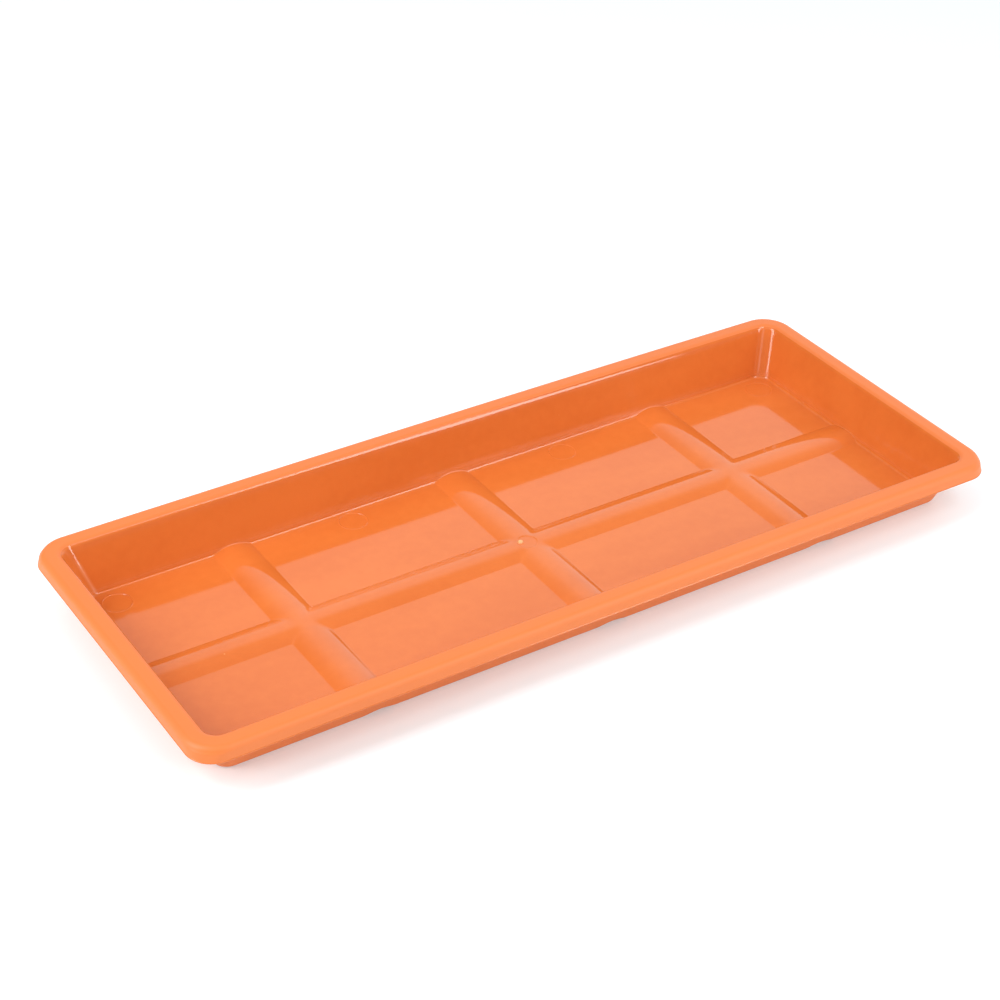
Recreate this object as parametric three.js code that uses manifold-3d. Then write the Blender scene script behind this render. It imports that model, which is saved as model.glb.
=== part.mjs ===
// Rectangular plant saucer: one thin-walled moulding. A drafted tray with rounded corners, a flat rim
// with a turned-down skirt, and a floor stiffened by hollow round-topped ribs that cross in a grid.
// Millimetres. X runs along the length, Y across, Z up from the surface that the saucer stands on.
import * as THREE from "three";
import { mergeVertices } from "three/addons/utils/BufferGeometryUtils.js";
import Module from "manifold-3d";

// Overall size
const length = 400; // over the lip of the skirt
const width = 162;
const height = 26;

// Wall and floor
const wall = 1.6; // thickness of the walls, the floor and the ribs
const wallLean = 8.05; // how far each wall leans in between the mouth and the floor
const floorFillet = 1.3; // inside radius between wall and floor

// Rim
const rimWidth = 9.05; // from the skirt's lip in to the mouth
const skirtDrop = 6.6; // from the top of the rim down to the skirt's lower edge
const skirtFlare = 0.3; // how far the skirt leans out on its way down to the lip
const skirtWall = 1.4;
const skirtEdge = 0.45; // rounding of the skirt's inner lower edge
const lipReach = 0.15; // how far the lip along the skirt's lower edge stands out
const lipHeight = 0.6;
const outerShoulder = 2.9; // rounding between the flat of the rim and the skirt
const innerShoulder = 3; // rounding between the flat of the rim and the wall

// Corner radii in plan
const rimCorner = 12; // outside, at the lip
const shoulderCorner = 14; // at the top of the skirt
const mouthCorner = 6.6;
const floorCorner = 6.2;

// Ribs: one along the middle of the length, the others across it
const ribWidth = 18.8;
const ribHeight = 2.2;
const crossRibs = 3;
const crossRibPitch = 113.4;

// Marks that the mould leaves on the inside
const pinDiameter = 13; // ejector pins, which push beside the long walls
const pinDepth = 0.15;
const cornerPinSetback = 9.9; // from the edges of the floor to the middle of a pin
const sidePinSetback = 7.6;
const gateDiameter = 9; // the well round the gate, on the middle crossing
const gateDepth = 0.25;
const nubDiameter = 2.4; // the stub of the gate, which broke off to one side of the well
const nubHeight = 0.6;
const nubX = -2.7;
const nubY = 1.4;

// How finely the curves are faceted, in halves of the segments of one arc
const cornerSteps = 4;
const sectionSteps = 2;
const ribSegments = 18;
const roundSegments = 32;

const floorInset = rimWidth + wallLean;
const draft = Math.atan2(wallLean, height - wall);
const wallAcross = wall / Math.cos(draft); // thickness of the sloping wall, measured level
const ribTop = wall + ribHeight;
const over = wall; // how far a cutting shape reaches past what it cuts

const wasm = await Module();
wasm.setup();

function solidFrom(geometry) {
  geometry.deleteAttribute("normal");
  geometry.deleteAttribute("uv");
  const merged = mergeVertices(geometry);
  return new wasm.Manifold(
    new wasm.Mesh({
      numProp: 3,
      vertProperties: merged.attributes.position.array,
      triVerts: new Uint32Array(merged.index.array),
    }),
  );
}

// Plan radius at a distance in from the lip: it widens up the skirt, then tightens over the rim and the wall.
function planRadius(inset) {
  const stops = [
    [0, rimCorner],
    [lipReach + skirtFlare, shoulderCorner],
    [rimWidth, mouthCorner],
    [floorInset, floorCorner],
  ];
  const next = stops.findIndex(([at], i) => i > 0 && inset <= at);
  if (next < 0) return floorCorner;
  const [from, start] = stops[next - 1];
  const [to, end] = stops[next];
  return THREE.MathUtils.mapLinear(inset, from, to, start, end);
}

function planOutline(inset) {
  const radius = planRadius(inset);
  const x = length / 2 - inset - radius;
  const y = width / 2 - inset - radius;
  const outline = new THREE.Path();
  outline.absarc(x, y, radius, 0, Math.PI / 2);
  outline.absarc(-x, y, radius, Math.PI / 2, Math.PI);
  outline.absarc(-x, -y, radius, Math.PI, 1.5 * Math.PI);
  outline.absarc(x, -y, radius, 1.5 * Math.PI, 2 * Math.PI);
  return outline.getPoints(cornerSteps);
}

// A section in (inset, height), given by its corners and the radius that rounds each of them.
function roundedSection(corners) {
  const points = corners.map(({ inset, z }) => new THREE.Vector2(inset, z));
  const path = new THREE.Path();
  path.moveTo(points[0].x, points[0].y);
  for (let i = 1; i < points.length - 1; i++) {
    const here = points[i];
    const radius = corners[i].radius;
    if (!radius) {
      path.lineTo(here.x, here.y);
      continue;
    }
    const back = points[i - 1].clone().sub(here).normalize();
    const on = points[i + 1].clone().sub(here).normalize();
    const half = Math.acos(back.dot(on)) / 2;
    const run = radius / Math.tan(half);
    const toCentre = back.clone().add(on).normalize();
    const centre = here.clone().addScaledVector(toCentre, radius / Math.sin(half));
    const start = here.clone().addScaledVector(back, run).sub(centre).angle();
    const end = here.clone().addScaledVector(on, run).sub(centre).angle();
    path.absarc(centre.x, centre.y, radius, start, end, back.cross(on) > 0);
  }
  path.lineTo(points.at(-1).x, points.at(-1).y);
  const apart = 1e-4;
  return path.getPoints(sectionSteps).filter((p, i, all) => !i || p.distanceTo(all[i - 1]) > apart);
}

// Carries a section round the plan outline and closes it with a flat cap at its first and last ring.
function sweepRound(section) {
  const rings = section.map((p) => planOutline(p.x).map((q) => new THREE.Vector3(q.x, q.y, p.y)));
  const count = rings[0].length;
  const index = [];
  for (let ring = 0; ring < rings.length - 1; ring++) {
    for (let i = 0; i < count; i++) {
      const a = ring * count + i;
      const b = ring * count + ((i + 1) % count);
      index.push(a, b, b + count, a, b + count, a + count);
    }
  }
  const last = (rings.length - 1) * count;
  for (const [a, b, c] of THREE.ShapeUtils.triangulateShape(rings[0], [])) index.push(a, c, b);
  for (const [a, b, c] of THREE.ShapeUtils.triangulateShape(rings.at(-1), [])) {
    index.push(last + a, last + b, last + c);
  }
  const geometry = new THREE.BufferGeometry().setFromPoints(rings.flat());
  geometry.setIndex(index);
  return solidFrom(geometry);
}

// The outside: from the underside out to the foot, up the wall, under the rim, round the skirt
// and over the outer shoulder on to the flat of the rim, which is closed across the mouth.
function outerForm() {
  const skirtFoot = height - skirtDrop;
  const rimUnderside = height - wall;
  const wallAt = (z) => floorInset - wallAcross - (z - wall) * Math.tan(draft);
  const lipTop = skirtFoot + lipHeight;
  const skirtAt = (z) => lipReach + ((z - lipTop) / (height - lipTop)) * skirtFlare;
  const underShoulder = Math.max(outerShoulder - wall, skirtWall / 2);
  return sweepRound(
    roundedSection([
      { inset: floorInset + floorFillet + wall, z: 0 },
      { inset: wallAt(0), z: 0, radius: floorFillet + wall },
      { inset: wallAt(rimUnderside), z: rimUnderside, radius: Math.max(innerShoulder - wall, wall / 4) },
      { inset: skirtAt(rimUnderside) + skirtWall, z: rimUnderside, radius: underShoulder },
      { inset: skirtAt(lipTop) + skirtWall, z: skirtFoot, radius: Math.min(skirtEdge, skirtWall / 3) },
      { inset: 0, z: skirtFoot },
      { inset: 0, z: skirtFoot + lipHeight / 4 },
      { inset: lipReach, z: lipTop },
      { inset: skirtAt(height), z: height, radius: outerShoulder },
      { inset: rimWidth / 2, z: height },
    ]),
  );
}

// The inside: floor, fillet, drafted wall and inner shoulder, open above the rim.
function innerForm() {
  const shoulderRun = innerShoulder * Math.tan((Math.PI / 2 - draft) / 2);
  const brink = rimWidth - shoulderRun;
  return sweepRound(
    roundedSection([
      { inset: floorInset + floorFillet + wall, z: wall },
      { inset: floorInset, z: wall, radius: floorFillet },
      { inset: rimWidth, z: height, radius: innerShoulder },
      { inset: brink, z: height },
      { inset: brink, z: height + over },
    ]),
  );
}

// A straight bar with a round top, along X or Y, whose arc rises from the level of its springing line.
function roundTopBar({ along, run, at, radius, centre, springing, base }) {
  const reach = Math.sqrt(radius ** 2 - (springing - centre) ** 2);
  const rise = Math.atan2(springing - centre, reach);
  const section = new THREE.Shape();
  section.moveTo(-reach, base);
  section.lineTo(reach, base);
  section.absarc(0, centre, radius, rise, Math.PI - rise);
  const bar = new THREE.ExtrudeGeometry(section, {
    depth: run,
    bevelEnabled: false,
    curveSegments: ribSegments / 2,
  });
  bar.translate(0, 0, -run / 2);
  bar.rotateX(Math.PI / 2);
  if (along === "x") bar.rotateZ(Math.PI / 2);
  bar.translate(at, 0, 0);
  return solidFrom(bar);
}

// Ribs are corrugations: the same centre serves the rib on top and, one wall smaller, the channel below.
function ribGrid({ inside }) {
  const crown = ((ribWidth / 2) ** 2 + ribHeight ** 2) / (2 * ribHeight);
  const arc = {
    centre: ribTop - crown,
    radius: inside ? crown : crown - wall,
    springing: inside ? wall : 0,
    base: inside ? wall / 2 : -over,
  };
  let grid = roundTopBar({ ...arc, along: "x", run: length, at: 0 });
  for (let i = 0; i < crossRibs; i++) {
    const at = (i - (crossRibs - 1) / 2) * crossRibPitch;
    grid = grid.add(roundTopBar({ ...arc, along: "y", run: width, at }));
  }
  return grid;
}

function disc({ diameter, low, high, x = 0, y = 0 }) {
  const puck = new THREE.CylinderGeometry(diameter / 2, diameter / 2, high - low, roundSegments);
  puck.rotateX(Math.PI / 2);
  puck.translate(x, y, (low + high) / 2);
  return solidFrom(puck);
}

// Ejector pins push in the four corners and midway between the cross ribs, on both long sides.
function pinMarks() {
  const cornerX = length / 2 - floorInset - cornerPinSetback;
  const cornerY = width / 2 - floorInset - cornerPinSetback;
  const sideY = width / 2 - floorInset - sidePinSetback;
  const places = [[cornerX, cornerY]];
  for (let i = 0; i < (crossRibs - 1) / 2; i++) places.push([(i + 0.5) * crossRibPitch, sideY]);
  const marks = [];
  for (const [x, y] of places) {
    for (const [sx, sy] of [[1, 1], [-1, 1], [-1, -1], [1, -1]]) {
      marks.push(disc({ diameter: pinDiameter, low: wall - pinDepth, high: ribTop, x: sx * x, y: sy * y }));
    }
  }
  return marks;
}

function moulding() {
  let hollow = innerForm().subtract(ribGrid({ inside: true }));
  for (const mark of pinMarks()) hollow = hollow.add(mark);
  const well = ribTop - gateDepth;
  hollow = hollow.add(disc({ diameter: gateDiameter, low: well, high: ribTop + over }));
  const stub = { diameter: nubDiameter, low: well - wall / 2, high: well + nubHeight, x: nubX, y: nubY };
  hollow = hollow.subtract(disc(stub));
  return outerForm().subtract(hollow).subtract(ribGrid({ inside: false }));
}

function meshFrom(solid, name, material) {
  const { vertProperties, triVerts } = solid.getMesh();
  const geometry = new THREE.BufferGeometry();
  geometry.setAttribute("position", new THREE.BufferAttribute(vertProperties, 3));
  geometry.setIndex(new THREE.BufferAttribute(triVerts, 1));
  const faceted = geometry.toNonIndexed();
  faceted.computeVertexNormals();
  const mesh = new THREE.Mesh(faceted, material);
  mesh.name = name;
  return mesh;
}

const terracottaPlastic = new THREE.MeshStandardMaterial({ color: 0xd8712f, roughness: 0.22, metalness: 0 });

const plantSaucer = new THREE.Group();
plantSaucer.add(meshFrom(moulding(), "saucer", terracottaPlastic));

export default plantSaucer;
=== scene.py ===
import math
import bpy
import bmesh
from mathutils import Matrix, Vector
from mathutils.geometry import delaunay_2d_cdt


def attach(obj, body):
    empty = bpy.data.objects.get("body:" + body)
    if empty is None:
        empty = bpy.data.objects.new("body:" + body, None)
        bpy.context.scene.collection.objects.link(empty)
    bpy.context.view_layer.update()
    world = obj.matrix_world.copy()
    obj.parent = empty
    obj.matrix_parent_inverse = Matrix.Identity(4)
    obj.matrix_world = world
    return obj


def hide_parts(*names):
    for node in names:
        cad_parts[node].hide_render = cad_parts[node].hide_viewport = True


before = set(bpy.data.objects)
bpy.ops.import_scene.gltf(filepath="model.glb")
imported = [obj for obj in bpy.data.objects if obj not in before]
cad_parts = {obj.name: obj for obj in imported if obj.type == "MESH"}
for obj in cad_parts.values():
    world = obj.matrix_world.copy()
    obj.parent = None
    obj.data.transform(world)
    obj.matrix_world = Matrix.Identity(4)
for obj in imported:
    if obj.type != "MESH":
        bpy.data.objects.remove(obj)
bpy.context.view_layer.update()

scene = bpy.context.scene
mm = 0.001

viewpoint = {
    "turn": -33.483,  # degrees round from straight in front
    "lift": 33.843,
    "roll": 1.501,
    "distance": 1.0130,
    "target": (0.010750, 0.039020, -0.000280),
    "lens": 79.4324,
    "sensor": 36.0,
    "nearest": 0.01,  # metres in front of the lens where its view begins
}


def placeCamera(view):
    turn, lift, roll = (math.radians(view[key]) for key in ("turn", "lift", "roll"))
    back = Vector((math.sin(turn) * math.cos(lift), -math.cos(turn) * math.cos(lift), math.sin(lift)))
    level = Vector((math.cos(turn), math.sin(turn), 0.0))
    upright = back.cross(level)
    right = level * math.cos(roll) + upright * math.sin(roll)
    up = upright * math.cos(roll) - level * math.sin(roll)
    lens = bpy.data.cameras.new("trayCamera")
    lens.lens = view["lens"]
    lens.sensor_width = view["sensor"]
    lens.clip_start = view["nearest"]
    camera = bpy.data.objects.new("trayCamera", lens)
    scene.collection.objects.link(camera)
    eye = Vector(view["target"]) + back * view["distance"]
    camera.matrix_world = Matrix.Translation(eye) @ Matrix((right, up, back)).transposed().to_4x4()
    scene.camera = camera
    print("camera placed")


placeCamera(viewpoint)


def feed(tree, socket, source):  # links the socket, or sets its plain value
    if isinstance(source, bpy.types.NodeSocket):
        tree.links.new(source, socket)
    else:
        socket.default_value = source


def addMath(tree, operation, *sources):
    node = tree.nodes.new("ShaderNodeMath")
    node.operation = operation
    for socket, source in zip(node.inputs, sources):
        feed(tree, socket, source)
    return node.outputs[0]


def addLength(tree, x, y):
    square = addMath(tree, "ADD", addMath(tree, "MULTIPLY", x, x), addMath(tree, "MULTIPLY", y, y))
    return addMath(tree, "SQRT", square)


def addRange(tree, value, low, high, start=0.0, end=1.0):  # soft step from the start to the end value
    node = tree.nodes.new("ShaderNodeMapRange")
    node.interpolation_type = "SMOOTHSTEP"
    feed(tree, node.inputs["Value"], value)
    feed(tree, node.inputs["From Min"], low)
    feed(tree, node.inputs["From Max"], high)
    feed(tree, node.inputs["To Min"], start)
    feed(tree, node.inputs["To Max"], end)
    return node.outputs["Result"]


def newFieldTree(name, sizes):
    tree = bpy.data.node_groups.new(name, "GeometryNodeTree")
    tree.interface.new_socket("Geometry", in_out="INPUT", socket_type="NodeSocketGeometry")
    for size in sizes:
        tree.interface.new_socket(size, in_out="INPUT", socket_type="NodeSocketFloat")
    tree.interface.new_socket("Finish", in_out="INPUT", socket_type="NodeSocketMaterial")
    tree.interface.new_socket("Geometry", in_out="OUTPUT", socket_type="NodeSocketGeometry")
    given = tree.nodes.new("NodeGroupInput")
    place = tree.nodes.new("GeometryNodeInputPosition")
    split = tree.nodes.new("ShaderNodeSeparateXYZ")
    tree.links.new(place.outputs[0], split.inputs[0])
    side = tree.nodes.new("GeometryNodeInputNamedAttribute")
    side.data_type = "FLOAT"
    side.inputs["Name"].default_value = "underside"
    return tree, given.outputs, split.outputs, side.outputs["Attribute"]


def closeFieldTree(tree, given, split, level):
    join = tree.nodes.new("ShaderNodeCombineXYZ")
    tree.links.new(split[0], join.inputs[0])
    tree.links.new(split[1], join.inputs[1])
    tree.links.new(level, join.inputs[2])
    move = tree.nodes.new("GeometryNodeSetPosition")
    tree.links.new(given["Geometry"], move.inputs["Geometry"])
    tree.links.new(join.outputs[0], move.inputs["Position"])
    realize = tree.nodes.new("GeometryNodeRealizeInstances")
    tree.links.new(move.outputs[0], realize.inputs[0])
    finish = tree.nodes.new("GeometryNodeSetMaterial")
    tree.links.new(realize.outputs[0], finish.inputs["Geometry"])
    tree.links.new(given["Finish"], finish.inputs["Material"])
    out = tree.nodes.new("NodeGroupOutput")
    tree.links.new(finish.outputs[0], out.inputs[0])


def addTree(piece, tree, values):
    modifier = piece.modifiers.new(tree.name, "NODES")
    modifier.node_group = tree
    for item in tree.interface.items_tree:
        if item.item_type == "SOCKET" and item.in_out == "INPUT" and item.name in values:
            modifier[item.identifier] = values[item.name]


def bakeTrees(piece):
    evaluated = piece.evaluated_get(bpy.context.evaluated_depsgraph_get())
    baked = bpy.data.meshes.new_from_object(evaluated)
    piece.modifiers.clear()
    blank = piece.data
    piece.data = baked
    bpy.data.meshes.remove(blank)
    baked.name = piece.name


saucer = {  # millimetres
    "length": 400.0,
    "width": 162.0,
    "height": 26.0,
    "wall": 1.6,
    "wallLean": 8.05,
    "floorFillet": 1.3,
    "rimWidth": 9.05,
    "skirtDrop": 6.6,
    "skirtFlare": 0.3,
    "lipReach": 0.15,
    "lipHeight": 0.5,
    "lipRounds": (0.1, 0.16, 0.3),  # above the lip, along its top edge and along its foot
    "boxGap": 0.01,  # keeps the lip just inside the box of the CAD model
    "skirtWall": 1.4,
    "skirtEdge": 0.45,
    "outerShoulder": 2.9,
    "innerShoulder": 3.0,
    "rimCorner": 12.0,
    "shoulderCorner": 14.0,
    "mouthCorner": 6.6,
    "floorCorner": 6.2,
    "rimSag": 0.8,  # how much lower the rim lies at the two ends than in the middle
}

ribs = {
    "width": 18.8,
    "height": 2.2,
    "pitch": 113.4,
    "eachSide": 1,
    "footBlend": 0.25,
    "crossingBlend": 0.9,
}

pins = {
    "radius": 6.5,
    "depth": 0.12,
    "edge": 0.22,
    "burr": (0.2, 0.06),  # ridge that the gap round the pin leaves, at the left end and at the right
    "burrReach": 0.3,
    "innerRings": (0.0, 2.2, 4.4),
    "edgeRings": (-2.2, -1.2, -0.8, -0.4, 0.0, 0.4, 0.8, 1.2, 2.2),  # in widths of the edge
    "cornerSetback": 9.9,
    "sideSetback": 7.6,
}

gate = {
    "wellRadius": 4.5,
    "wellDepth": 0.25,
    "nubRadius": 1.2,
    "nubHeight": 0.6,
    "nubPlace": (-2.7, 1.4),
    "edge": 0.35,
    "ringGap": 0.25,  # between the rings of points round the two edges
    "wellInner": (0.0, 0.7, 1.4, 2.1, 2.8, 3.4),
    "wellRings": (-2.0, -1.0, -0.4, 0.4, 1.0, 2.0, 5.2),  # in gaps from the edge
    "nubInner": (0.0, 0.4, 0.8),
    "nubRings": (-1.0, -0.6, -0.2, 0.2, 0.6, 1.0),
}

gloss = {  # 0 is polished and 1 is satin
    "rimRings": 8,  # rings before the top where the satin of the rim sets in
    "rimFade": 2,
    "foot": 0.5,  # less polished just above the fillet
    "footTop": 6.0,
    "footFade": 2.0,
    "lip": 0.2,  # rubbed smooth
    "lipTop": 1.0,  # above the foot of the skirt
}

paintedCornerHighlight = {  # painted highlight: a pale line in the colour down the back left inner corner
    "step": 2,  # place on the arc of that corner, from the back wall
    "spread": 1.5,  # steps over which it fades
    "head": 18.5,
    "foot": 2.6,
    "tones": (0.2, 0.38),  # at the foot and at the head
}

facets = {  # how the points of the mesh are spread
    "cornerSteps": 14,
    "filletSteps": 14,
    "nearFloor": (0.012, 0.024, 0.038, 0.055, 0.08, 0.13, 0.22, 0.36, 0.5, 0.64, 0.78, 0.9),
    "nearFoot": (0.2, 0.35, 0.5, 0.65, 0.8, 0.9, 0.95, 0.98),
    "even": (0.2, 0.4, 0.6, 0.8),
    "sectionRun": 9.0,  # flat run at both ends of the section, which the floor takes over
    "ribLines": 11,  # over half a rib
    "ribFoot": (-0.5, -0.25, 0.0, 0.25, 0.5, 0.8, 1.3, 2.2),  # lines beside its foot
    "panelGaps": (6.0, 5.0),  # on the flat panels, along and across
    "gridInset": 2.2,  # from the round of the floor's corner to the outer line
    "gridBorder": 3.0,  # to one more line past it
    "edgeGap": 0.8,
    "markGap": 0.7,
    "markSides": (24, 64),  # of the rings well inside a mark and of those near its edge
    "markCore": 0.6,
    "overlapGap": 0.1,
}

floorInset = saucer["rimWidth"] + saucer["wallLean"]
draft = math.atan2(saucer["wallLean"], saucer["height"] - saucer["wall"])


def planRadius(inset):  # the corner widens up the skirt, then tightens over the rim and down the wall
    insets = (saucer["lipReach"], saucer["lipReach"] + saucer["skirtFlare"], saucer["rimWidth"], floorInset)
    radii = [saucer[corner] for corner in ("rimCorner", "shoulderCorner", "mouthCorner", "floorCorner")]
    for stage in range(3):
        if inset <= insets[stage + 1]:
            share = max((inset - insets[stage]) / (insets[stage + 1] - insets[stage]), 0.0)
            return radii[stage] + (radii[stage + 1] - radii[stage]) * share
    return radii[-1]


def planRing(inset, xLines, yLines):
    radius = planRadius(inset)
    farX = saucer["length"] / 2 - inset
    farY = saucer["width"] / 2 - inset
    steps = facets["cornerSteps"]
    ring = []
    for quarter in range(4):
        if quarter == 0:
            ring += [(farX, y) for y in yLines]
        elif quarter == 1:
            ring += [(x, farY) for x in reversed(xLines)]
        elif quarter == 2:
            ring += [(-farX, y) for y in reversed(yLines)]
        else:
            ring += [(x, -farY) for x in xLines]
        signX, signY = ((1, 1), (-1, 1), (-1, -1), (1, -1))[quarter]
        for step in range(steps + 1):
            angle = (quarter + step / steps) * math.pi / 2
            ring.append((
                signX * (farX - radius) + radius * math.cos(angle),
                signY * (farY - radius) + radius * math.sin(angle),
            ))
    return ring


def roundCorner(before, corner, after, radius, steps):
    back = (before - corner).normalized()
    on = (after - corner).normalized()
    half = back.angle(on) / 2
    centre = corner + (back + on).normalized() * radius / math.sin(half)
    first = corner + back * radius / math.tan(half) - centre
    last = corner + on * radius / math.tan(half) - centre
    start = math.atan2(first.y, first.x)
    sweep = (math.atan2(last.y, last.x) - start + math.pi) % (2 * math.pi) - math.pi
    return [
        centre + radius * Vector((math.cos(start + sweep * i / steps), math.sin(start + sweep * i / steps)))
        for i in range(steps + 1)
    ]


def wallSection():  # (inset, height) from the floor up the inside, over the rim and down the outside
    top = saucer["height"]
    thick = saucer["wall"]
    skirtFoot = top - saucer["skirtDrop"]
    ceiling = top - thick
    lip = saucer["lipReach"]
    lipTop = skirtFoot + saucer["lipHeight"]
    aboveLip, lipEdge, lipFoot = saucer["lipRounds"]
    outermost = saucer["boxGap"]
    innermost = floorInset + facets["sectionRun"]
    shoulder = lip + saucer["skirtFlare"]
    even = facets["even"]

    def wallAt(z):
        return floorInset - thick / math.cos(draft) - (z - thick) * math.tan(draft)

    corners = [  # inset, height, radius, steps of the arc, rings along the stretch after it
        (innermost, thick, 0, 0, ()),
        (floorInset, thick, saucer["floorFillet"], facets["filletSteps"], facets["nearFloor"]),
        (saucer["rimWidth"], top, saucer["innerShoulder"], 12, even),
        (shoulder, top, saucer["outerShoulder"], 14, (0.5,)),
        (lip, lipTop + lip, aboveLip, 2, ()),
        (outermost, lipTop, lipEdge, 4, ()),
        (outermost, skirtFoot, lipFoot, 6, ()),
        (lip + saucer["skirtWall"], skirtFoot, saucer["skirtEdge"], 6, even),
        (shoulder + saucer["skirtWall"], ceiling, saucer["outerShoulder"] - thick, 6, even),
        (wallAt(ceiling), ceiling, saucer["innerShoulder"] - thick, 6, facets["nearFoot"]),
        (wallAt(0), 0, saucer["floorFillet"] + thick, 16, ()),
        (innermost, 0, 0, 0, ()),
    ]
    points = [Vector(corner[:2]) for corner in corners]
    section = []
    waiting = ()
    for i in range(1, len(corners) - 1):
        radius, steps, shares = corners[i][2:]
        arc = roundCorner(points[i - 1], points[i], points[i + 1], radius, steps)
        if section:
            start = section[-1]
            section += [start.lerp(arc[0], share) for share in waiting]
        section += arc
        waiting = shares
    return section


def gridLines(reach, centres, coarse):  # fine over the ribs, coarse on the flat panels
    half = ribs["width"] / 2
    count = facets["ribLines"]
    across = [half * i / count for i in range(count)]
    across += [half + off for off in facets["ribFoot"]]
    lines = sorted({round(c + s * u, 4) for c in centres for u in across for s in (-1, 1)})
    stops = [-reach] + lines + [reach]
    filled = [stops[0]]
    for a, b in zip(stops, stops[1:]):
        count = max(1, round((b - a) / coarse))
        filled += [a + (b - a) * i / count for i in range(1, count + 1)]
    return filled


def floorSheet(ring, corner, lines, marks):  # points of the flat floor inside its edge ring
    points = list(ring)
    edges = [(i, (i + 1) % len(ring)) for i in range(len(ring))]
    farX = max(x for x, y in ring)
    farY = max(y for x, y in ring)
    xLines, yLines = lines
    coarse, fine = facets["markSides"]
    for x in xLines:
        for y in yLines:
            outX = abs(x) - farX + corner
            outY = abs(y) - farY + corner
            edge = min(max(outX, outY), 0) + math.hypot(max(outX, 0), max(outY, 0)) - corner
            clear = all(
                math.hypot(x - mx, y - my) >= radii[-1] + facets["markGap"]
                for mx, my, radii in marks
            )
            if clear and edge <= -facets["edgeGap"]:
                points.append((x, y))
    for order, (mx, my, radii) in enumerate(marks):
        for radius in radii:
            sides = fine if radius > facets["markCore"] * radii[-1] else coarse
            count = sides if radius > 0 else 1
            for i in range(count):
                angle = 2 * math.pi * i / count
                x = mx + radius * math.cos(angle)
                y = my + radius * math.sin(angle)
                if all(  # a later mark leaves out what an earlier one has already covered
                    math.hypot(x - ox, y - oy) > far[-1] + facets["overlapGap"]
                    for ox, oy, far in marks[:order]
                ):
                    points.append((x, y))
    made = delaunay_2d_cdt([Vector(p) for p in points], edges, [], 1, 1e-5)
    return made[0], made[2], made[3]


def pinPlaces():
    corner = [saucer[side] / 2 - floorInset - pins["cornerSetback"] for side in ("length", "width")]
    between = [ribs["pitch"] / 2, saucer["width"] / 2 - floorInset - pins["sideSetback"]]
    return [(sx * x, sy * y) for x, y in (corner, between) for sx in (1, -1) for sy in (1, -1)]


def floorMarks():  # place and ring radii of each round mark
    def rings(inner, radius, gap, steps):
        return [*inner, *(radius + gap * step for step in steps)]

    pinRings = rings(pins["innerRings"], pins["radius"], pins["edge"], pins["edgeRings"])
    nubRings = rings(gate["nubInner"], gate["nubRadius"], gate["ringGap"], gate["nubRings"])
    wellRings = rings(gate["wellInner"], gate["wellRadius"], gate["ringGap"], gate["wellRings"])
    marks = [(x, y, pinRings) for x, y in pinPlaces()]
    return marks + [(*gate["nubPlace"], nubRings), (0.0, 0.0, wellRings)]


def satinAt(point, index, topRing):  # polished inside, satin over the rim and outside
    skirtFoot = saucer["height"] - saucer["skirtDrop"]
    if point.x < saucer["lipReach"] and point.y < skirtFoot + gloss["lipTop"]:
        return gloss["lip"]
    if facets["filletSteps"] < index < topRing and point.y < gloss["footTop"]:
        return gloss["foot"] * min((gloss["footTop"] - point.y) / gloss["footFade"], 1.0)
    return min(max((index - topRing + gloss["rimRings"]) / gloss["rimFade"], 0.0), 1.0)


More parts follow.
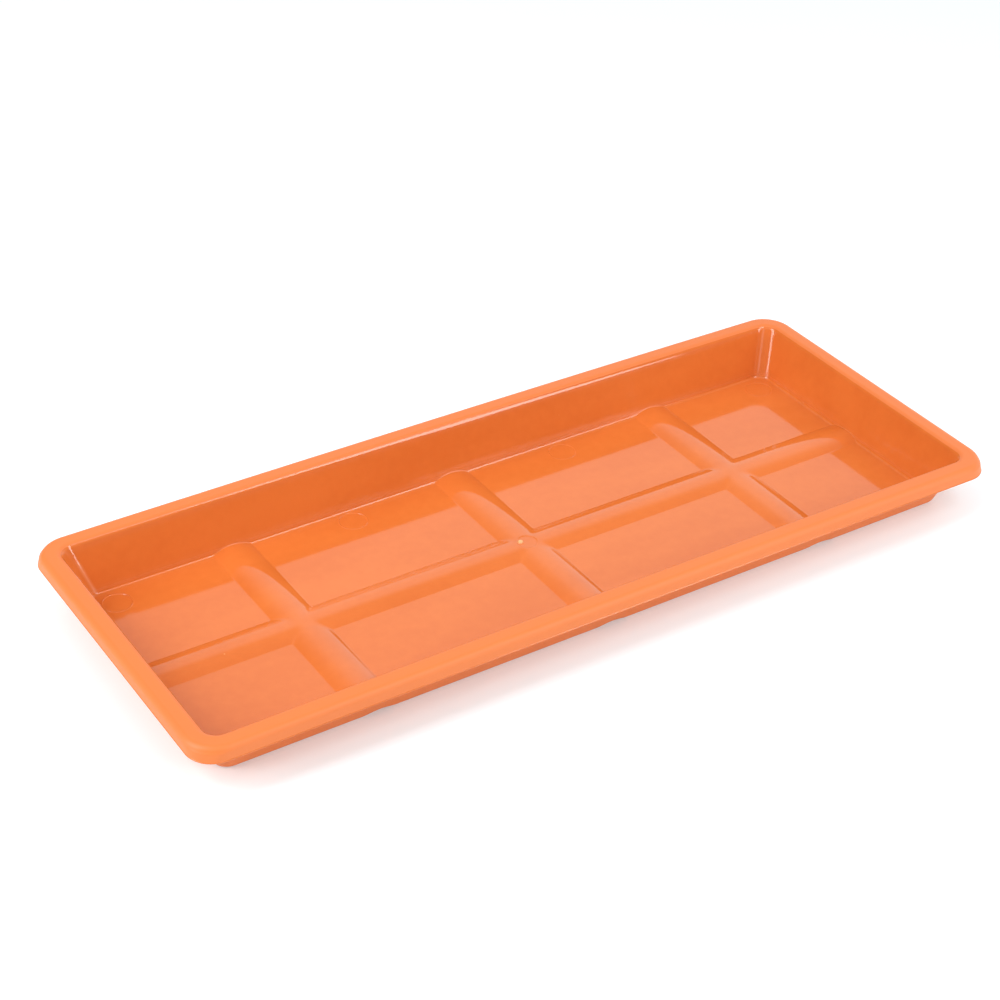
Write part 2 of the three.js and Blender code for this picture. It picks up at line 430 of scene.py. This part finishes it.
def saucerBlank():
    margin = floorInset + saucer["floorCorner"] + facets["gridInset"]
    reachX = saucer["length"] / 2 - margin
    reachY = saucer["width"] / 2 - margin
    centres = [i * ribs["pitch"] for i in range(-ribs["eachSide"], ribs["eachSide"] + 1)]
    xLines = gridLines(reachX, centres, facets["panelGaps"][0])
    yLines = gridLines(reachY, [0.0], facets["panelGaps"][1])
    section = wallSection()
    verts, faces, under, satin, pale = [], [], [], [], []
    count = 0
    cornerStart = len(yLines) + facets["cornerSteps"] + 1 + len(xLines)
    topRing = max(range(len(section)), key=lambda i: section[i].y)
    for index, point in enumerate(section):
        ring = planRing(point.x, xLines, yLines)
        count = len(ring)
        verts += [(x, y, point.y) for x, y in ring]
        under += [1.0 if index > topRing and point.y < saucer["height"] / 2 else 0.0] * count
        satin += [satinAt(point, index, topRing)] * count
        # painted highlight: the pale line down the back left inner corner
        climb = (point.y - paintedCornerHighlight["foot"]) / (paintedCornerHighlight["head"] - paintedCornerHighlight["foot"])
        peak = paintedCornerHighlight["tones"][0] + (paintedCornerHighlight["tones"][1] - paintedCornerHighlight["tones"][0]) * climb
        for i in range(count):
            near = max(1 - abs(i - cornerStart - paintedCornerHighlight["step"]) / paintedCornerHighlight["spread"], 0.0)
            pale.append(peak * near if index < topRing and 0 < climb < 1 else 0.0)
    for level in range(len(section) - 1):
        for i in range(count):
            a = level * count + i
            b = level * count + (i + 1) % count
            faces.append((a, a + count, b + count, b))
    border = facets["gridBorder"]
    lines = (
        xLines + [reachX + border, -reachX - border],
        yLines + [reachY + border, -reachY - border],
    )
    lastRing = (len(section) - 1) * count
    for first, level, sign, own in ((0, saucer["wall"], 1, floorMarks()), (lastRing, 0.0, -1, [])):
        ring = [verts[first + i][:2] for i in range(count)]
        points, triangles, origins = floorSheet(ring, planRadius(floorInset), lines, own)
        places = []
        for point, origin in zip(points, origins):
            onRing = [i for i in origin if i < count]
            if onRing:
                places.append(first + onRing[0])
            else:
                places.append(len(verts))
                verts.append((point.x, point.y, level))
                under.append(0.0 if sign > 0 else 1.0)
                satin.append(0.0 if sign > 0 else 1.0)
                pale.append(0.0)
        for a, b, c in triangles:
            turn = (points[b] - points[a]).cross(points[c] - points[a])
            faces.append(tuple(places[i] for i in ((a, b, c) if turn * sign > 0 else (a, c, b))))
    mesh = bpy.data.meshes.new("saucerShell")
    mesh.from_pydata([(x * mm, y * mm, z * mm) for x, y, z in verts], [], faces)
    mesh.attributes.new("underside", "FLOAT", "POINT").data.foreach_set("value", under)
    mesh.attributes.new("satin", "FLOAT", "POINT").data.foreach_set("value", satin)
    mesh.attributes.new("paintedCornerHighlight", "FLOAT", "POINT").data.foreach_set("value", pale)
    print("blank made:", len(verts), "points,", len(faces), "faces")
    return mesh


def ribTree():  # lifts the floor into round-topped ribs, and its underside into the channels below them
    names = ("Rib Pitch", "Ribs Each Side", "Crown Radius", "Crown Level", "Wall", "Foot Blend",
             "Crossing Blend", "Rim Sag", "Half Length", "Height")
    tree, given, place, under = newFieldTree("ribLift", names)
    lane = addMath(tree, "ROUND", addMath(tree, "DIVIDE", place[0], given["Rib Pitch"]))
    lane = addMath(tree, "MINIMUM", lane, given["Ribs Each Side"])
    lane = addMath(tree, "MAXIMUM", lane, addMath(tree, "MULTIPLY", given["Ribs Each Side"], -1.0))
    across = addMath(tree, "SUBTRACT", place[0], addMath(tree, "MULTIPLY", lane, given["Rib Pitch"]))
    thinner = addMath(tree, "MULTIPLY", under, given["Wall"])
    radius = addMath(tree, "SUBTRACT", given["Crown Radius"], thinner)
    square = addMath(tree, "MULTIPLY", radius, radius)
    arcs = []
    for off in (across, place[1]):
        rise = addMath(tree, "SUBTRACT", square, addMath(tree, "MULTIPLY", off, off))
        rise = addMath(tree, "MAXIMUM", rise, 0.0)
        arcs.append(addMath(tree, "ADD", addMath(tree, "SQRT", rise), given["Crown Level"]))
    grid = addMath(tree, "SMOOTH_MAX", arcs[0], arcs[1], given["Crossing Blend"])
    level = addMath(tree, "SMOOTH_MAX", place[2], grid, given["Foot Blend"])
    end = addMath(tree, "DIVIDE", place[0], given["Half Length"])
    sag = addMath(tree, "MULTIPLY", addMath(tree, "MULTIPLY", end, end), given["Rim Sag"])
    share = addMath(tree, "DIVIDE", place[2], given["Height"])
    level = addMath(tree, "SUBTRACT", level, addMath(tree, "MULTIPLY", sag, share))
    closeFieldTree(tree, given, place, level)
    return tree


def addStep(tree, value, middle, edge):  # 1 below the middle, 0 above it, soft over the edge
    low = addMath(tree, "SUBTRACT", middle, edge)
    high = addMath(tree, "ADD", middle, edge)
    return addRange(tree, value, low, high, 1.0, 0.0)


def markTree():  # sinks the rounds that the ejector pins leave, and the well and stub of the gate
    names = ("Corner Pin X", "Corner Pin Y", "Side Pin X", "Side Pin Y", "Pin Radius", "Pin Depth",
             "Pin Edge", "Left Burr", "Right Burr", "Burr Reach", "Half Length", "Well Radius",
             "Well Level", "Stub X", "Stub Y", "Stub Radius", "Stub Height", "Gate Edge")
    tree, given, place, under = newFieldTree("mouldMarks", names)
    inside = addMath(tree, "SUBTRACT", 1.0, under)
    away = [addMath(tree, "ABSOLUTE", place[axis]) for axis in (0, 1)]
    reach = []
    for name in ("Corner Pin", "Side Pin"):
        offX = addMath(tree, "SUBTRACT", away[0], given[name + " X"])
        offY = addMath(tree, "SUBTRACT", away[1], given[name + " Y"])
        reach.append(addLength(tree, offX, offY))
    nearest = addMath(tree, "MINIMUM", reach[0], reach[1])
    sunk = addStep(tree, nearest, given["Pin Radius"], given["Pin Edge"])
    sunk = addMath(tree, "MULTIPLY", sunk, given["Pin Depth"])
    fromEdge = addMath(tree, "ABSOLUTE", addMath(tree, "SUBTRACT", nearest, given["Pin Radius"]))
    half = addMath(tree, "MULTIPLY", given["Burr Reach"], 0.5)
    along = addMath(tree, "DIVIDE", place[0], given["Half Length"])
    along = addMath(tree, "MULTIPLY_ADD", along, 0.5, 0.5)  # 0 at the left end, 1 at the right
    gain = addMath(tree, "SUBTRACT", given["Right Burr"], given["Left Burr"])
    burr = addMath(tree, "MULTIPLY_ADD", along, gain, given["Left Burr"])
    burr = addMath(tree, "MULTIPLY", addStep(tree, fromEdge, half, half), burr)
    floorOnly = addMath(tree, "LESS_THAN", place[2], given["Well Level"])
    shift = addMath(tree, "SUBTRACT", burr, sunk)
    shift = addMath(tree, "MULTIPLY", shift, addMath(tree, "MULTIPLY", inside, floorOnly))
    level = addMath(tree, "ADD", place[2], shift)
    fromWell = addLength(tree, place[0], place[1])
    well = addStep(tree, fromWell, given["Well Radius"], given["Gate Edge"])
    well = addMath(tree, "MULTIPLY", well, inside)
    cut = addMath(tree, "MAXIMUM", addMath(tree, "SUBTRACT", level, given["Well Level"]), 0.0)
    level = addMath(tree, "SUBTRACT", level, addMath(tree, "MULTIPLY", cut, well))
    offX = addMath(tree, "SUBTRACT", place[0], given["Stub X"])
    offY = addMath(tree, "SUBTRACT", place[1], given["Stub Y"])
    stub = addStep(tree, addLength(tree, offX, offY), given["Stub Radius"], given["Gate Edge"])
    stub = addMath(tree, "MULTIPLY", stub, inside)
    level = addMath(tree, "ADD", level, addMath(tree, "MULTIPLY", stub, given["Stub Height"]))
    closeFieldTree(tree, given, place, level)
    return tree


def mouldSaucer(finish):
    shell = bpy.data.objects.new("saucerShell", saucerBlank())
    scene.collection.objects.link(shell)
    crown = ((ribs["width"] / 2) ** 2 + ribs["height"] ** 2) / (2 * ribs["height"])
    crest = saucer["wall"] + ribs["height"]
    corner, between = pinPlaces()[0], pinPlaces()[4]
    addTree(shell, ribTree(), {
        "Rib Pitch": ribs["pitch"] * mm,
        "Ribs Each Side": float(ribs["eachSide"]),
        "Crown Radius": crown * mm,
        "Crown Level": (crest - crown) * mm,
        "Wall": saucer["wall"] * mm,
        "Foot Blend": ribs["footBlend"] * mm,
        "Crossing Blend": ribs["crossingBlend"] * mm,
        "Rim Sag": saucer["rimSag"] * mm,
        "Half Length": saucer["length"] / 2 * mm,
        "Height": saucer["height"] * mm,
        "Finish": finish,
    })
    addTree(shell, markTree(), {
        "Corner Pin X": corner[0] * mm,
        "Corner Pin Y": corner[1] * mm,
        "Side Pin X": between[0] * mm,
        "Side Pin Y": between[1] * mm,
        "Pin Radius": pins["radius"] * mm,
        "Pin Depth": pins["depth"] * mm,
        "Pin Edge": pins["edge"] * mm,
        "Left Burr": pins["burr"][0] * mm,
        "Right Burr": pins["burr"][1] * mm,
        "Half Length": saucer["length"] / 2 * mm,
        "Burr Reach": pins["burrReach"] * mm,
        "Well Radius": gate["wellRadius"] * mm,
        "Well Level": (crest - gate["wellDepth"]) * mm,
        "Stub X": gate["nubPlace"][0] * mm,
        "Stub Y": gate["nubPlace"][1] * mm,
        "Stub Radius": gate["nubRadius"] * mm,
        "Stub Height": gate["nubHeight"] * mm,
        "Gate Edge": gate["edge"] * mm,
        "Finish": finish,
    })
    bakeTrees(shell)
    shell.data.polygons.foreach_set("use_smooth", [True] * len(shell.data.polygons))
    solid = bmesh.new()
    solid.from_mesh(shell.data)
    gaps = sum(1 for edge in solid.edges if not edge.is_manifold)
    print("saucer moulded:", round(solid.calc_volume() * 1e6, 2), "cm3,", gaps, "open edges")
    solid.free()
    return shell


plastic = {
    "deepColour": (0.655, 0.152, 0.028, 1.0),
    "paleColour": (0.705, 0.174, 0.034, 1.0),
    "rimColour": (0.777, 0.192, 0.041, 1.0),  # satin scatters a little more light
    "rimShare": 0.7,
    "whitenedAndHighlight": (0.93, 0.56, 0.24, 1.0),  # where the plastic was rubbed, and a painted highlight on the gate's stub
    # colour of the painted highlight down the back left corner
    "paintedHighlightColour": (0.95, 0.50, 0.31, 1.0),
    "gloss": 0.07,  # roughness of the polished inside
    "satin": 0.5,  # roughness of the rim and the outside
    "satinSpan": (0.5, 1.0),  # where the colour of the rim sets in
    "ior": 1.49,
    "streakSpacing": 26.0,  # streaks that the flow left, across them, in millimetres
    "streakStretch": 3.5,
    "streakRoughness": 0.03,
    "speckSpacing": 21.0,
    "speckRadius": 0.5,
    "speckTone": 0.35,
    "whiteAndHighlightReach": 1.5,  # in radii of the gate's stub, which is whitened and painted with a highlight
    "whiteAndHighlightTone": 0.6,
    "rubbedRoughness": 0.15,
    "waveDepth": 0.05,  # millimetres, slow unevenness of the gloss
    "waveLength": 60.0,
    "grainDepth": 0.0016,
    "grainSize": 0.5,
}


def newShaderGroup(name, takes, gives):
    group = bpy.data.node_groups.new(name, "ShaderNodeTree")
    for label, kind in takes:
        group.interface.new_socket(label, in_out="INPUT", socket_type="NodeSocket" + kind)
    for label, kind in gives:
        group.interface.new_socket(label, in_out="OUTPUT", socket_type="NodeSocket" + kind)
    return group, group.nodes.new("NodeGroupInput").outputs, group.nodes.new("NodeGroupOutput").inputs


def addGroup(tree, group, **values):
    node = tree.nodes.new("ShaderNodeGroup")
    node.node_tree = group
    for label, value in values.items():
        feed(tree, node.inputs[label], value)
    return node.outputs


def addNoise(tree, place, scale, detail):
    node = tree.nodes.new("ShaderNodeTexNoise")
    tree.links.new(place, node.inputs["Vector"])
    tree.links.new(scale, node.inputs["Scale"])
    node.inputs["Detail"].default_value = detail
    return node.outputs[0]


def addMix(tree, share, first, second):
    node = tree.nodes.new("ShaderNodeMix")
    node.data_type = "RGBA"
    feed(tree, node.inputs["Factor"], share)
    feed(tree, node.inputs[6], first)  # the two colour sockets
    feed(tree, node.inputs[7], second)
    return node.outputs[2]


streaks = {
    "mottling": 0.3,  # share of the finer mottling
    "mottlingTimes": 6.0,  # how much finer it is
    "toneSpan": (0.3, 0.7),
    "details": (2.0, 3.0),  # of the streaks and of the mottling
}


def flowStreaks():  # long faint streaks along the tray, broken up by finer mottling
    group, given, made = newShaderGroup(
        "flowStreaks",
        [("Place", "Vector"), ("Spacing", "Float"), ("Stretch", "Float")],
        [("Tone", "Float")])
    split = group.nodes.new("ShaderNodeSeparateXYZ")
    group.links.new(given["Place"], split.inputs[0])
    drawn = group.nodes.new("ShaderNodeCombineXYZ")
    group.links.new(addMath(group, "DIVIDE", split.outputs[0], given["Stretch"]), drawn.inputs[0])
    group.links.new(split.outputs[1], drawn.inputs[1])
    group.links.new(split.outputs[2], drawn.inputs[2])
    often = addMath(group, "DIVIDE", 1 / mm, given["Spacing"])
    finer = addMath(group, "MULTIPLY", often, streaks["mottlingTimes"])
    broad = addNoise(group, drawn.outputs[0], often, streaks["details"][0])
    fine = addNoise(group, given["Place"], finer, streaks["details"][1])
    fine = addMath(group, "MULTIPLY", fine, streaks["mottling"])
    blend = addMath(group, "MULTIPLY_ADD", broad, 1 - streaks["mottling"], fine)
    group.links.new(addRange(group, blend, *streaks["toneSpan"]), made["Tone"])
    return group


specks = {
    "leastRadius": 0.3,  # added to a random share of the radius
    "rarity": 0.66,  # share of the cells that stay bare
}


def scatteredSpecks():  # small rubbed spots, one at most in each cell
    group, given, made = newShaderGroup(
        "scatteredSpecks",
        [("Place", "Vector"), ("Spacing", "Float"), ("Radius", "Float")],
        [("Speck", "Float")])
    cells = group.nodes.new("ShaderNodeTexVoronoi")
    group.links.new(given["Place"], cells.inputs["Vector"])
    group.links.new(addMath(group, "DIVIDE", 1 / mm, given["Spacing"]), cells.inputs["Scale"])
    dice = group.nodes.new("ShaderNodeSeparateColor")
    group.links.new(cells.outputs["Color"], dice.inputs[0])
    reach = addMath(group, "DIVIDE", given["Radius"], given["Spacing"])
    size = addMath(group, "ADD", dice.outputs[1], specks["leastRadius"])
    reach = addMath(group, "MULTIPLY", reach, size)
    spot = addRange(group, cells.outputs["Distance"], 0.0, reach, 1.0, 0.0)
    kept = addMath(group, "GREATER_THAN", dice.outputs[0], specks["rarity"])
    group.links.new(addMath(group, "MULTIPLY", spot, kept), made["Speck"])
    return group


def stubWhiteningAndHighlight():  # a soft round of whitened plastic, partly a painted highlight on the gate's stub
    group, given, made = newShaderGroup(
        "stubWhiteningAndHighlight",
        [("Place", "Vector"), ("Middle", "Vector"), ("Reach", "Float")],
        [("White And Highlight", "Float")])
    gap = group.nodes.new("ShaderNodeVectorMath")
    gap.operation = "DISTANCE"
    group.links.new(given["Place"], gap.inputs[0])
    group.links.new(given["Middle"], gap.inputs[1])
    core = addMath(group, "MULTIPLY", given["Reach"], 0.5)
    stubWhiteAndHighlight = addRange(group, gap.outputs["Value"], core, given["Reach"], 1.0, 0.0)
    group.links.new(stubWhiteAndHighlight, made["White And Highlight"])
    return group


def mouldSurface():  # slow waves in the gloss, and fine grain where the mould was left satin
    group, given, made = newShaderGroup(
        "mouldSurface",
        [("Place", "Vector"), ("Satin", "Float"), ("Wave Length", "Float"), ("Wave Depth", "Float"),
         ("Grain Size", "Float"), ("Grain Depth", "Float")],
        [("Height", "Float")])
    wave = addNoise(group, given["Place"], addMath(group, "DIVIDE", 1 / mm, given["Wave Length"]), 1.0)
    grain = addNoise(group, given["Place"], addMath(group, "DIVIDE", 1 / mm, given["Grain Size"]), 2.0)
    grain = addMath(group, "MULTIPLY", grain, given["Satin"])
    grain = addMath(group, "MULTIPLY", grain, given["Grain Depth"])
    height = addMath(group, "ADD", addMath(group, "MULTIPLY", wave, given["Wave Depth"]), grain)
    group.links.new(addMath(group, "MULTIPLY", height, mm), made["Height"])
    return group


def plasticFinish():
    material = bpy.data.materials.new("terracottaPlastic")
    material.use_nodes = True
    tree = material.node_tree
    shader = tree.nodes["Principled BSDF"]
    shader.inputs["IOR"].default_value = plastic["ior"]
    place = tree.nodes.new("ShaderNodeTexCoord").outputs["Object"]
    masks = {}
    for name in ("satin", "paintedCornerHighlight"):
        masks[name] = tree.nodes.new("ShaderNodeAttribute")
        masks[name].attribute_name = name
    satin = masks["satin"].outputs["Fac"]
    tone = addGroup(tree, flowStreaks(), **{
        "Place": place, "Spacing": plastic["streakSpacing"], "Stretch": plastic["streakStretch"]})["Tone"]
    speck = addGroup(tree, scatteredSpecks(), **{
        "Place": place, "Spacing": plastic["speckSpacing"], "Radius": plastic["speckRadius"]})["Speck"]
    crest = saucer["wall"] + ribs["height"] - gate["wellDepth"] + gate["nubHeight"]
    nub = tuple(c * mm for c in (*gate["nubPlace"], crest))
    stubWhiteAndHighlight = addGroup(tree, stubWhiteningAndHighlight(), **{
        "Place": place, "Middle": nub, "Reach": gate["nubRadius"] * plastic["whiteAndHighlightReach"] * mm})["White And Highlight"]
    colour = addMix(tree, tone, plastic["deepColour"], plastic["paleColour"])
    onRim = addRange(tree, satin, *plastic["satinSpan"])
    onRim = addMath(tree, "MULTIPLY", onRim, plastic["rimShare"])
    colour = addMix(tree, onRim, colour, plastic["rimColour"])
    # rubbed specks, and the gate's stub whitened and painted with a highlight
    for mask, share in ((speck, plastic["speckTone"]), (stubWhiteAndHighlight, plastic["whiteAndHighlightTone"])):
        colour = addMix(tree, addMath(tree, "MULTIPLY", mask, share), colour, plastic["whitenedAndHighlight"])
    # paints the highlight line down the back left corner into the colour
    colour = addMix(tree, masks["paintedCornerHighlight"].outputs["Fac"], colour, plastic["paintedHighlightColour"])
    tree.links.new(colour, shader.inputs["Base Color"])
    uneven = addMath(tree, "SUBTRACT", tone, 0.5)
    rubbed = addMath(tree, "MAXIMUM", speck, stubWhiteAndHighlight)
    rough = addMath(tree, "MULTIPLY_ADD", satin, plastic["satin"] - plastic["gloss"], plastic["gloss"])
    rough = addMath(tree, "MULTIPLY_ADD", uneven, plastic["streakRoughness"], rough)
    rough = addMath(tree, "MULTIPLY_ADD", rubbed, plastic["rubbedRoughness"], rough)
    tree.links.new(rough, shader.inputs["Roughness"])
    height = addGroup(tree, mouldSurface(), **{
        "Place": place, "Satin": satin,
        "Wave Length": plastic["waveLength"], "Wave Depth": plastic["waveDepth"],
        "Grain Size": plastic["grainSize"], "Grain Depth": plastic["grainDepth"]})["Height"]
    bump = tree.nodes.new("ShaderNodeBump")
    bump.inputs["Distance"].default_value = 1.0
    tree.links.new(height, bump.inputs["Height"])
    tree.links.new(bump.outputs["Normal"], shader.inputs["Normal"])
    print("plastic mixed")
    return material


shell = mouldSaucer(plasticFinish())
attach(shell, "root")
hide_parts("saucer")

studio = {
    "floorSize": 40.0,
    "floorDrop": 0.05,  # millimetres that it lies below the tray, so that the two faces don't flicker
    "farGlow": 0.92,  # what the camera sees beyond the floor
    "floorColour": (0.79, 0.84, 0.855, 1.0),
    "floorGlow": (0.165, 0.20, 0.212, 1.0),  # light that comes up through the table
    "floorRoughness": 0.9,
    "ceilingGlow": (0.95, 0.48),  # to the left and to the right
    "ceilingFoot": (35.0, 60.0),  # degrees of lift over which the ceiling begins
    "frontGlow": 0.29,  # the room in front of the tray, below the ceiling
    "rearGlow": 0.06,
    "frontFade": 0.2618,  # part of a unit heading over which the front runs into the rear
    "sideFade": 0.5,  # the same for the left and the right of the ceiling
    "backdrop": 1.22,  # bright white wall behind the tray
    "backdropTurn": 36.0,  # degrees, its middle, from the tray's right towards its back
    "backdropSpread": (18.0, 70.0),  # half its width, where it starts and ends its fade
    "backdropTop": (40.0, 56.0),  # the height where it fades
}

softboxes = {  # turn and lift in degrees, distance and sides in metres, glow as brightness of its face
    "leftSoftbox": {"turn": 170.0, "lift": 36.0, "distance": 1.5, "sides": (0.66, 1.3), "glow": 7.3},
    "frontSoftbox": {"turn": -97.0, "lift": 33.0, "distance": 1.5, "sides": (0.45, 1.0), "glow": 1.4},
    "rightSoftbox": {"turn": -57.0, "lift": 35.0, "distance": 1.5, "sides": (0.32, 1.8), "glow": 8.2},
}


def heading(turn, lift):
    turn, lift = math.radians(turn), math.radians(lift)
    return Vector((math.cos(lift) * math.cos(turn), math.cos(lift) * math.sin(turn), math.sin(lift)))


def addFade(tree, angle, start, end):  # 1 up to the start, 0 past the end, in degrees
    return addRange(tree, angle, math.radians(start), math.radians(end), 1.0, 0.0)


def lightRoom():
    world = bpy.data.worlds.new("softRoom")
    world.use_nodes = True
    tree = world.node_tree
    toward = tree.nodes.new("ShaderNodeTexCoord")
    turned = tree.nodes.new("ShaderNodeVectorRotate")  # turns the middle of the backdrop to +X
    turned.rotation_type = "Z_AXIS"
    turned.inputs["Angle"].default_value = -math.radians(studio["backdropTurn"])
    tree.links.new(toward.outputs["Generated"], turned.inputs["Vector"])
    split = tree.nodes.new("ShaderNodeSeparateXYZ")
    tree.links.new(turned.outputs["Vector"], split.inputs[0])
    turn = addMath(tree, "ABSOLUTE", addMath(tree, "ARCTAN2", split.outputs[1], split.outputs[0]))
    lift = addMath(tree, "ARCSINE", split.outputs[2])
    wall = addMath(tree, "MULTIPLY", addFade(tree, turn, *studio["backdropSpread"]),
                   addFade(tree, lift, *studio["backdropTop"]))
    ahead = tree.nodes.new("ShaderNodeSeparateXYZ")
    tree.links.new(toward.outputs["Generated"], ahead.inputs[0])
    fade = studio["frontFade"]
    front = addRange(tree, ahead.outputs[1], -fade, fade, 1.0, 0.0)
    low = addMath(tree, "MULTIPLY_ADD", front, studio["frontGlow"] - studio["rearGlow"], studio["rearGlow"])
    below = addFade(tree, lift, *studio["ceilingFoot"])
    leftGlow, rightGlow = studio["ceilingGlow"]
    fade = studio["sideFade"]
    toLeft = addRange(tree, ahead.outputs[0], -fade, fade, 1.0, 0.0)
    ceiling = addMath(tree, "MULTIPLY_ADD", toLeft, leftGlow - rightGlow, rightGlow)
    room = addMath(tree, "MULTIPLY_ADD", below, addMath(tree, "SUBTRACT", low, ceiling), ceiling)
    glow = addMath(tree, "MULTIPLY_ADD", wall, studio["backdrop"], room)
    seen = tree.nodes.new("ShaderNodeLightPath").outputs["Is Camera Ray"]
    change = addMath(tree, "SUBTRACT", studio["farGlow"], glow)
    glow = addMath(tree, "MULTIPLY_ADD", seen, change, glow)
    tree.links.new(glow, tree.nodes["Background"].inputs["Strength"])
    tree.nodes["Background"].inputs["Color"].default_value = (1.0, 1.0, 1.0, 1.0)
    scene.world = world
    for name, box in softboxes.items():
        light = bpy.data.lights.new(name, "AREA")
        light.shape = "RECTANGLE"
        light.size, light.size_y = box["sides"]
        light.energy = box["glow"] * math.pi * light.size * light.size_y
        lamp = bpy.data.objects.new(name, light)
        scene.collection.objects.link(lamp)
        toLamp = heading(box["turn"], box["lift"])
        lamp.location = toLamp * box["distance"]
        lamp.rotation_euler = toLamp.to_track_quat("Z", "Y").to_euler()
        lamp.visible_camera = False
    print("room lit")


def setStage():
    bpy.ops.mesh.primitive_plane_add(size=studio["floorSize"])
    floor = bpy.context.object
    floor.name = "paleFloor"
    floor.data.transform(Matrix.Translation((0.0, 0.0, -studio["floorDrop"] * mm)))
    paint = bpy.data.materials.new("paleFloor")
    paint.use_nodes = True
    shader = paint.node_tree.nodes["Principled BSDF"]
    shader.inputs["Base Color"].default_value = studio["floorColour"]
    shader.inputs["Roughness"].default_value = studio["floorRoughness"]
    shader.inputs["Emission Color"].default_value = studio["floorGlow"]
    shader.inputs["Emission Strength"].default_value = 1.0
    floor.data.materials.append(paint)
    scene.view_settings.view_transform = "Standard"
    print("stage set")


lightRoom()
setStage()
